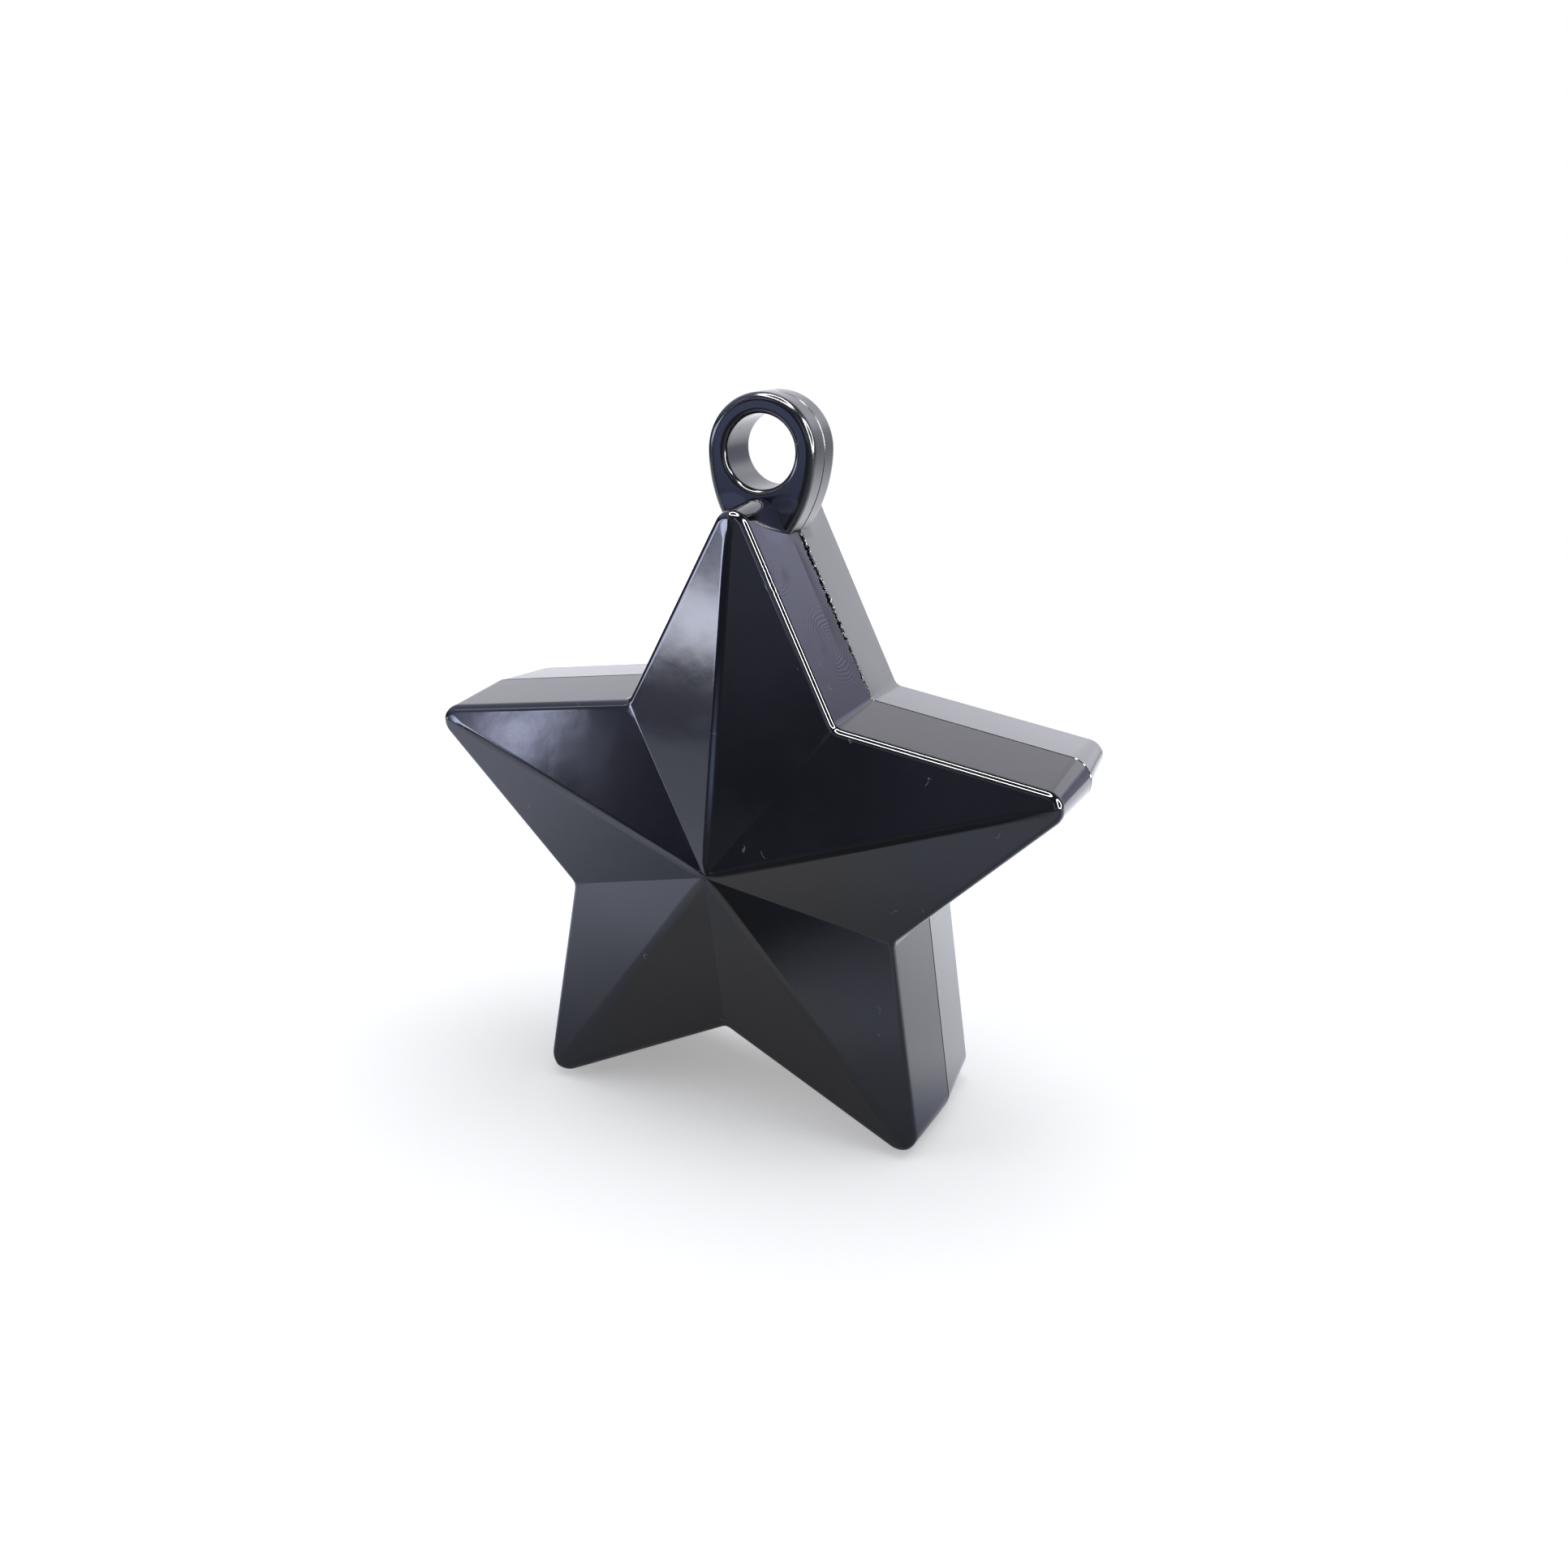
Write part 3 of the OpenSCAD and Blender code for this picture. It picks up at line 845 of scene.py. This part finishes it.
joint = path_curve("joint_path", seam_path(), True)
flank_top = loop_outline(0, DRAFT_GROWTH)[-1]
flank_end = corner_arc(1, DRAFT_GROWTH, PATH_ARC_STEPS)[2]
squeeze = path_curve("squeeze_path", [flank_top, flank_end], False)
print("points on the joint's path:", len(joint.data.splines[0].points))

# %% The swept line of cement
LUMP_LENGTH = 1.1 * MM
line_sizes = {"Radius": 0.1 * MM, "Step": 0.3 * MM, "Unevenness": 0.45}
line_rule, start, size = new_tree("cement_line", line_sizes)
even = add(line_rule, "GeometryNodeResampleCurve", {"mode": "LENGTH"},
           Curve=start.outputs[0], Length=size["Step"])
lumpy = add(line_rule, "ShaderNodeTexNoise", Scale=1 / LUMP_LENGTH, Detail=2.0)
swell = 1 + (Field(line_rule, lumpy.outputs[0]) - 0.5) * size["Unevenness"]
sized = add(line_rule, "GeometryNodeSetCurveRadius", Curve=even.outputs[0], Radius=swell * size["Radius"])
section = add(line_rule, "GeometryNodeCurvePrimitiveCircle", Resolution=8, Radius=1.0)
thick = add(line_rule, "GeometryNodeInputRadius")
swept = add(line_rule, "GeometryNodeCurveToMesh", Curve=sized.outputs[0],
            Profile_Curve=section.outputs[0], Scale=thick.outputs[0])
round_line = add(line_rule, "GeometryNodeSetShadeSmooth", Geometry=swept.outputs[0])
finish_tree(line_rule, round_line.outputs[0], cement)
line_mesh = run_tree(joint, line_rule)
print("cement line faces:", len(line_mesh.polygons))

# %% The squeezed-out beads
SHAKE_LOW = (-0.08 * MM, -0.3 * MM, -0.12 * MM)
SHAKE_HIGH = (0.06 * MM, 0.1 * MM, 0.12 * MM)
SPIN_LOW, SPIN_HIGH = (-0.18, -0.18, -3.1), (0.18, 0.18, 3.1)
CHIP_BUMPS = 1.3
CHIP_DENTS = 1.2
FOOT_SHARE = 0.3


def random_vector(tree, low, high, seed):
    """A random vector between two others, drawn anew for each element."""
    node = add(tree, "FunctionNodeRandomValue", {"data_type": "FLOAT_VECTOR"}, Seed=seed)
    node.inputs[0].default_value, node.inputs[1].default_value = low, high
    return node.outputs[0]


bead_rule, start, size = new_tree("squeezed_beads", {
    "Spacing": 0.36 * MM, "Smallest": 0.1 * MM, "Largest": 0.25 * MM, "Stretch": 2.6,
    "Top": 84 * MM, "Foot": 62 * MM})
spots = add(bead_rule, "GeometryNodeCurveToPoints", {"mode": "LENGTH"}, Curve=start.outputs[0],
            Length=size["Spacing"])
shake = random_vector(bead_rule, SHAKE_LOW, SHAKE_HIGH, seed=4)
moved = add(bead_rule, "GeometryNodeSetPosition", Geometry=spots.outputs[0], Offset=shake)

# One chip: a small ball, pushed out of shape by noise and drawn out along the joint
chip = add(bead_rule, "GeometryNodeMeshIcoSphere", Radius=1.0, Subdivisions=2)
lumps = add(bead_rule, "ShaderNodeTexNoise", Scale=CHIP_BUMPS, Detail=1.0)
outwards = add(bead_rule, "GeometryNodeInputNormal")
push = add(bead_rule, "ShaderNodeVectorMath", {"operation": "SCALE"}, Vector=outwards.outputs[0],
           Scale=(Field(bead_rule, lumps.outputs[0]) - 0.5) * CHIP_DENTS)
broken = add(bead_rule, "GeometryNodeSetPosition", Geometry=chip.outputs[0], Offset=push.outputs[0])
stretch = add(bead_rule, "ShaderNodeCombineXYZ", X=1.0, Y=1.0, Z=size["Stretch"])
long_chip = add(bead_rule, "GeometryNodeTransform", Geometry=broken.outputs[0], Scale=stretch.outputs[0])

# Each chip lies along the joint, spun about it, and the chips get smaller towards the arm's foot
spin = random_vector(bead_rule, SPIN_LOW, SPIN_HIGH, seed=9)
lay = add(bead_rule, "FunctionNodeRotateRotation", {"rotation_space": "LOCAL"},
          Rotation=spots.outputs["Rotation"], Rotate_By=spin)
grow = add(bead_rule, "FunctionNodeRandomValue", {"data_type": "FLOAT"}, Seed=21)
wire(bead_rule, size["Smallest"], grow.inputs[2])
wire(bead_rule, size["Largest"], grow.inputs[3])
here = Field(bead_rule, add(bead_rule, "GeometryNodeInputPosition").outputs[0])
x_at, y_at, z_at = split(here)
share_up = add(bead_rule, "ShaderNodeMapRange", Value=z_at, From_Min=size["Foot"], From_Max=size["Top"],
               To_Min=FOOT_SHARE, To_Max=1.0)
chip_size = Field(bead_rule, grow.outputs[1]) * Field(bead_rule, share_up.outputs[0])
strewn = add(bead_rule, "GeometryNodeInstanceOnPoints", Points=moved.outputs[0],
             Instance=long_chip.outputs[0], Rotation=lay.outputs[0], Scale=chip_size)
finish_tree(bead_rule, strewn.outputs[0], cement)
bead_mesh = run_tree(squeeze, bead_rule)
print("bead faces:", len(bead_mesh.polygons))

# %% Join the cement into one piece
work = bmesh.new()
work.from_mesh(line_mesh)
work.from_mesh(bead_mesh)
bmesh.ops.recalc_face_normals(work, faces=work.faces)
cement_mesh = bpy.data.meshes.new("joint_cement")
work.to_mesh(cement_mesh)
work.free()
cement_mesh.materials.append(cement)
cement_piece = place("joint_cement", cement_mesh)
for helper in (joint, squeeze):
    bpy.data.objects.remove(helper)
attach(cement_piece, "root")
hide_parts("seam_glue")
print("cement faces in all:", len(cement_mesh.polygons))

# %% [markdown]
# The two castings keep the shape of the solid model. They only get their finish.

# %% Finish of the castings
for node in ("front_ballast", "rear_ballast"):
    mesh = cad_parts[node].data
    mesh.materials.clear()
    mesh.materials.append(plaster)
print("castings finished in", plaster.name)

# %% [markdown]
# The studio. A black gloss part has almost no colour of its own: it is drawn by what it mirrors.
# So the studio is built twice. Lamps light the white table plainly and give the soft shadow. What
# the gloss mirrors is set apart from that: white paper with a dark post behind the object, the
# dark room in front of it, a window low on the left, and two ring lamps. The eye itself sees only
# white behind the object.

# %% Which rays see what


def ray_kinds(tree):
    """Two Fields: 1 for rays of the eye, and 1 for mirrored or refracted rays."""
    path = tree.nodes.new("ShaderNodeLightPath")
    eye = Field(tree, path.outputs["Is Camera Ray"])
    mirrored = Field(tree, path.outputs["Is Glossy Ray"]) + Field(tree, path.outputs["Is Transmission Ray"])
    return eye, mirrored.op("MINIMUM", 1.0) * (1 - eye)


# %% White table
TABLE_R = 620 * MM


def circle(radius, steps=128):
    """Points once round a circle on the floor."""
    turns = [2 * math.pi * i / steps for i in range(steps)]
    return [(radius * math.cos(a), radius * math.sin(a), 0) for a in turns]


table_mesh = bpy.data.meshes.new("table")
rim = circle(TABLE_R)
table_mesh.from_pydata(rim, [], [tuple(range(len(rim)))])
table = place("table", table_mesh)
print("table across in mm:", round(2 * TABLE_R / MM))

# %% [markdown]
# A mirrored ray that meets the table sees light and shade painted into its glow: brightest at the left
# and behind, a painted shade in front, and a painted shadow of a post far off at the right. Where it stands
# in the picture the table is only white with the soft shadow, and further out it goes over into pure white.

# %% How bright the table looks, with painted light and shade
glow_steps = {
    "in front of the star": (-66 * MM, -40 * MM, 1.0, 0.7),
    "under its front half": (-40 * MM, -14 * MM, 0.0, -0.1),
    "under its rear half": (-14 * MM, 26 * MM, 0.0, 0.9),
    "behind the star": (26 * MM, 110 * MM, 0.0, 0.45),
}
PAINTED_POST_SHADOW = 0.62
SHADE_SLANT = 0.68
SHADE_BEND = 20 * MM
FRONT_DIM, FAR_FRONT_EXTRA = 0.16, 0.12
LIT_SHARE = 0.75
PLAIN_PAPER = (0.79, 0.80, 0.83)
COLD_PAPER = (0.74, 0.78, 0.97)
COLD_GLOW = (0.93, 0.98, 1.24, 1)
WHITE = (1, 1, 1, 1)

table_paper, tree, shader, at = new_material("table_paper")
x_at, y_at, z_at = split(at)
eye, mirrored = ray_kinds(tree)
far = (x_at * x_at + y_at * y_at).op("SQRT")
bearing = x_at / y_at

glow = sum(ramp(y_at, *step) for step in glow_steps.values())
# Painted shade on the table: darker in front and to the right of the star
painted_front_shade = ramp(y_at, -110 * MM, -66 * MM, 0.35, 0.0) * ramp(x_at, -40 * MM, 0.0)
left_side = ramp(x_at, -115 * MM, -35 * MM, 0.8, 0.0) * ramp(far, 150 * MM, 400 * MM, 1.0, 0.35)
glow = glow - painted_front_shade + left_side
# A painted shadow of a post, behind the star to the right
painted_post_shadow = ramp(bearing, 0.24, 0.32) * fall(bearing, 0.42, 0.52)
painted_post_shadow = painted_post_shadow * ramp(y_at, 150 * MM, 550 * MM)
glow = glow * (1 - PAINTED_POST_SHADOW * painted_post_shadow)
# A painted shade over the front: beyond a slanted line the glow drops to a dim level
shade_line = y_at - SHADE_SLANT * x_at.op("MINIMUM", SHADE_BEND) + biggest(x_at - SHADE_BEND, 0.0)
open_part = ramp(shade_line, -124 * MM, -84 * MM)
dim = FRONT_DIM + ramp(y_at, -320 * MM, -150 * MM, FAR_FRONT_EXTRA, 0.0)
glow = dim + (glow - dim) * open_part

# The lamps give the paper LIT_SHARE of its brightness, and a painted glow the rest
seen_white = ramp(far, 120 * MM, 350 * MM, 1.08, 1.75)
level = mirrored * glow + eye * seen_white + (1 - mirrored - eye)
body_level = level.op("MINIMUM", 1.0)
# Mirrored rays see the paper colder at the sides: a painted tint of the reflections
coldness = mirrored * ramp(x_at.op("ABSOLUTE"), 14 * MM, 38 * MM)
coldness = coldness * ramp(y_at, 0.0, 20 * MM, 1.0, 0.3)
paper_colour = add(tree, "ShaderNodeCombineColor")
for socket, plain, cold in zip(paper_colour.inputs, PLAIN_PAPER, COLD_PAPER):
    wire(tree, body_level * either(coldness, cold, plain), socket)
feed(tree, shader, Base_Color=paper_colour.outputs[0], Roughness=0.9, Specular_IOR_Level=0.0,
     Emission_Color=blend_colour(coldness, WHITE, COLD_GLOW),
     Emission_Strength=(eye + mirrored) * (level - body_level * LIT_SHARE))
table_mesh.materials.append(table_paper)
print("table nodes:", len(tree.nodes))

# %% [markdown]
# The room is a map of directions. left_turn is the angle from straight in front towards the left,
# back_turn from straight behind towards the right, and rise the angle above the floor. Patches
# and panels of light are added up on that map, each where a facet of the real weight shows it.

# %% Directions in the room
world = bpy.data.worlds.new("studio")
bpy.context.scene.world = world
world.use_nodes = True
tree = world.node_tree
sky = tree.nodes["Background"]
eye, mirrored = ray_kinds(tree)
wx, wy, wz = split(Field(tree, tree.nodes.new("ShaderNodeTexCoord").outputs["Generated"]))
DEG = 180 / math.pi
left_turn = atan2(wx * -1, wy * -1) * DEG
back_turn = atan2(wx, wy) * DEG
rise = wz.op("ARCSINE") * DEG


def patch(turn, at_turn, at_rise, half_turn, half_rise, soft, strength):
    """A soft bright patch of the room, with its centre and half sizes in degrees."""
    across = (turn - at_turn) / half_turn
    up = (rise - at_rise) / half_rise
    away = (across * across + up * up).op("SQRT")
    return ramp(away, 1 - soft, 1 + soft, strength, 0.0)


def panel(turn, turn_low, turn_high, rise_low, rise_high, soft, strength):
    """A bright rectangle of the room with soft sides, its edges in degrees."""
    across = ramp(turn, turn_low - soft, turn_low + soft)
    across = across * fall(turn, turn_high - soft, turn_high + soft)
    up = ramp(rise, rise_low - soft, rise_low + soft)
    return across * up * ramp(rise, rise_high - soft, rise_high + soft, strength, 0.0)


# %% White paper behind, with a dark post in it
PAPER_LEVEL = 1.28
POST = dict(rise_low=-14, rise_high=13.5, soft=1.6, strength=0.62)

paper = panel(back_turn, -48, 42, -30, 46, 5, 1.0)
right_side = ramp(back_turn, 19, 27)
left_level = PAPER_LEVEL + ramp(back_turn, -30, -18, -0.16, 0.0)
left_level = left_level + patch(back_turn, 6, 8, 20, 9, 0.4, 0.35)
right_level = ramp(rise, 7, 16, 0.72, 1.5)
over_post = panel(back_turn, 8, 24, 16.5, 30, 2, 0.5)
post = panel(back_turn, 16.5, 23.5, **POST)
post_edge = fall(back_turn, 23, 29.5) * panel(back_turn, 22, 40, **POST)
paper_level = either(right_side, right_level, left_level) + over_post
paper_level = paper_level * (1 - biggest(post, post_edge))
print("nodes of the room so far:", len(tree.nodes))

# %% The window on the left
WINDOW_LEVEL = 12
BAR_SHADE = 0.82
window_glints = {
    "low beside the window": (37.6, 11.5, 1.0, 1.05, 0.6, 11.0),
    "high beside it": (36.3, 12.7, 0.9, 0.7, 0.6, 6.5),
    "haze round them": (39.4, 11.2, 1.3, 2.5, 0.6, 1.2),
    "over the window": (50, 32, 8, 4, 0.5, 2.6),
}

# Two bright panes with a bar between them. The lower edge slants, and the far pane is dimmer
sill_edge = ramp(left_turn, 44, 50, -0.8, -1.9)
bar = panel(left_turn, 53.5, 58.0, 0.5, 30, 0.7, BAR_SHADE)
window = panel(left_turn, 41, 76, sill_edge, 8, 0.9, WINDOW_LEVEL)
window = window * (1 - bar) * ramp(left_turn, 62, 66, 1.0, 0.5)
for glint in window_glints.values():
    window = window + patch(left_turn, *glint)
print("glints beside the window:", len(window_glints))

# %% Weak light of the room
ROOM_LEVEL = 0.15
BLUE_LEVEL = 0.85
room_panels = {
    "pale wall high on the left": (40, 132, 18, 75, 6, 0.85),
    "wall under the window": (38, 80, -12, -1.8, 1.5, 0.36),
    "bright strip in front": (-16, -11.5, 5, 30, 0.8, 3.5),
    "haze low in front": (-4, 16, -14, 10, 3, 0.07),
    "dim right side": (-112, -17, -35, 12, 7, 0.3),
}
room_glows = {
    "low in front": (-7, 7, 7, 6, 0.9, 0.42),
    "high in front": (8, 29, 13, 8, 0.5, 0.6),
    "on the right": (-33, 14, 13, 9, 0.4, 0.8),
    "middle of the front": (7, 15, 6, 5, 0.6, 0.14),
    "high at the front left": (25, 24, 9, 7, 0.35, 2.4),
    "top of the blue part": (23.5, -3, 6, 2.2, 0.6, 0.6),
}

room = ROOM_LEVEL + ramp(left_turn, 29, 36) * panel(left_turn, 25, 52, 7, 22, 2, 0.4)
for wide in room_panels.values():
    room = room + panel(left_turn, *wide)
for glow in room_glows.values():
    room = room + patch(left_turn, *glow)
blue_front = patch(left_turn, 23.5, -6, 8, 4.0, 0.4, 1.0)
room = room + blue_front * BLUE_LEVEL
print("panels and glows of the room:", len(room_panels) + len(room_glows))

# %% Colours of the room
PAPER_TINT = (0.98, 0.98, 1.08, 1)
PAPER_TINT_RIGHT = (0.93, 0.94, 1.28, 1)
ROOM_TINT = (0.88, 0.94, 1.3, 1)
BLUE_TINT = (0.8, 0.96, 1.75, 1)
SILL_TINT = (0.96, 0.99, 1.14, 1)
PLAIN_LEVEL = 0.4

tint = blend_colour(right_side, PAPER_TINT, PAPER_TINT_RIGHT)
tint = blend_colour(paper, ROOM_TINT, tint)
tint = blend_colour(blue_front, tint, BLUE_TINT)
tint = blend_colour(panel(left_turn, 50, 62, -3, 1.5, 1, 0.8), tint, SILL_TINT)
level = room + paper * paper_level + window
strength = eye + mirrored * level + (1 - eye - mirrored) * PLAIN_LEVEL
feed(tree, sky, Color=blend_colour(mirrored, WHITE, tint), Strength=strength)
print("nodes of the room:", len(tree.nodes))

# %% [markdown]
# The thin double lines along the rims are the mirror images of ring lamps: the near and the far
# side of a ring each draw one line. The rings are real meshes that glow, so that the rounded rim
# bends their image as on the real weight. Only mirrored rays see them.

# %% Ring lamps
AIM = Vector((0, 0, 52 * MM))
RING_GLOW = 52
RING_STEPS = 96


def ring_lamp(name, turn, height, distance, spread, width=7):
    """A glowing flat ring, turned to the object. All its angles are in degrees."""
    a, e = math.radians(turn), math.radians(height)
    direction = Vector((-math.sin(a) * math.cos(e), -math.cos(a) * math.cos(e), math.sin(e)))
    mesh = bpy.data.meshes.new(name)
    points = []
    for edge in (-0.5, 0.5):
        points += circle(distance * math.tan(math.radians(spread + edge * width)), RING_STEPS)
    mesh.from_pydata(points, [], band_faces(RING_STEPS, 2, 1))
    mesh.transform(Matrix.Translation(AIM + direction * distance)
                   @ direction.to_track_quat("Z", "Y").to_matrix().to_4x4())
    lamp = place(name, mesh)
    material = bpy.data.materials.new(name)
    material.use_nodes = True
    tree = material.node_tree
    tree.nodes.clear()
    glow = add(tree, "ShaderNodeEmission", Strength=RING_GLOW)
    add(tree, "ShaderNodeOutputMaterial", Surface=glow.outputs[0])
    mesh.materials.append(material)
    lamp.visible_camera = lamp.visible_diffuse = lamp.visible_shadow = False
    print(name, "at", turn, "degrees to the left and", height, "up")


ring_lamp("ring_lamp_right", turn=-85, height=25, distance=800 * MM, spread=20.5)
ring_lamp("ring_lamp_top", turn=10, height=80, distance=900 * MM, spread=20)

# %% Soft lamps for the table
SOFT_DISTANCE = 1300 * MM


def soft_lamp(name, direction, width, height, power):
    """A rectangular lamp that faces the object and isn't mirrored in it."""
    data = bpy.data.lights.new(name, "AREA")
    data.shape = "RECTANGLE"
    data.size, data.size_y = width, height
    data.energy = power
    lamp = place(name, data)
    way = Vector(direction).normalized()
    lamp.location = AIM + way * SOFT_DISTANCE
    lamp.rotation_mode = "QUATERNION"
    lamp.rotation_quaternion = way.to_track_quat("Z", "Y")
    lamp.visible_camera = lamp.visible_glossy = False
    print(name, "of", power, "watts")


soft_lamp("soft_top", (0.1, 0.2, 1), width=1200 * MM, height=1200 * MM, power=11)
soft_lamp("soft_left", (-0.83, -0.56, 0.35), width=900 * MM, height=600 * MM, power=4)

# %% [markdown]
# The camera stands where the photographer's did: to the right and above, and close, which gives
# the strong perspective. Its place and turn come from a fit of the star's corners to the picture.

# %% Camera
CAMERA_AT = Vector((79.91, -188.05, 76.63)) * MM + Vector((0, 0, STAR_Z))
RIGHT = Vector((0.9226, 0.3852, 0.0214))
UP = Vector((-0.1425, 0.2887, 0.9467))
FORWARD = Vector((-0.3585, 0.8765, -0.3213))
FOCAL_PIXELS = 1804.25
PICTURE_PIXELS = 1932
SENSOR_MM = 36
camera_data = bpy.data.cameras.new("camera")
camera_data.sensor_width = SENSOR_MM
camera_data.lens = SENSOR_MM * FOCAL_PIXELS / PICTURE_PIXELS
camera_data.clip_start = 10 * MM
camera = place("camera", camera_data)
turned = Matrix((RIGHT, UP, -FORWARD)).transposed().to_4x4()
camera.matrix_world = Matrix.Translation(CAMERA_AT) @ turned
bpy.context.scene.camera = camera
bpy.context.scene.view_settings.view_transform = "Standard"
print("lens in mm:", round(camera_data.lens, 2))
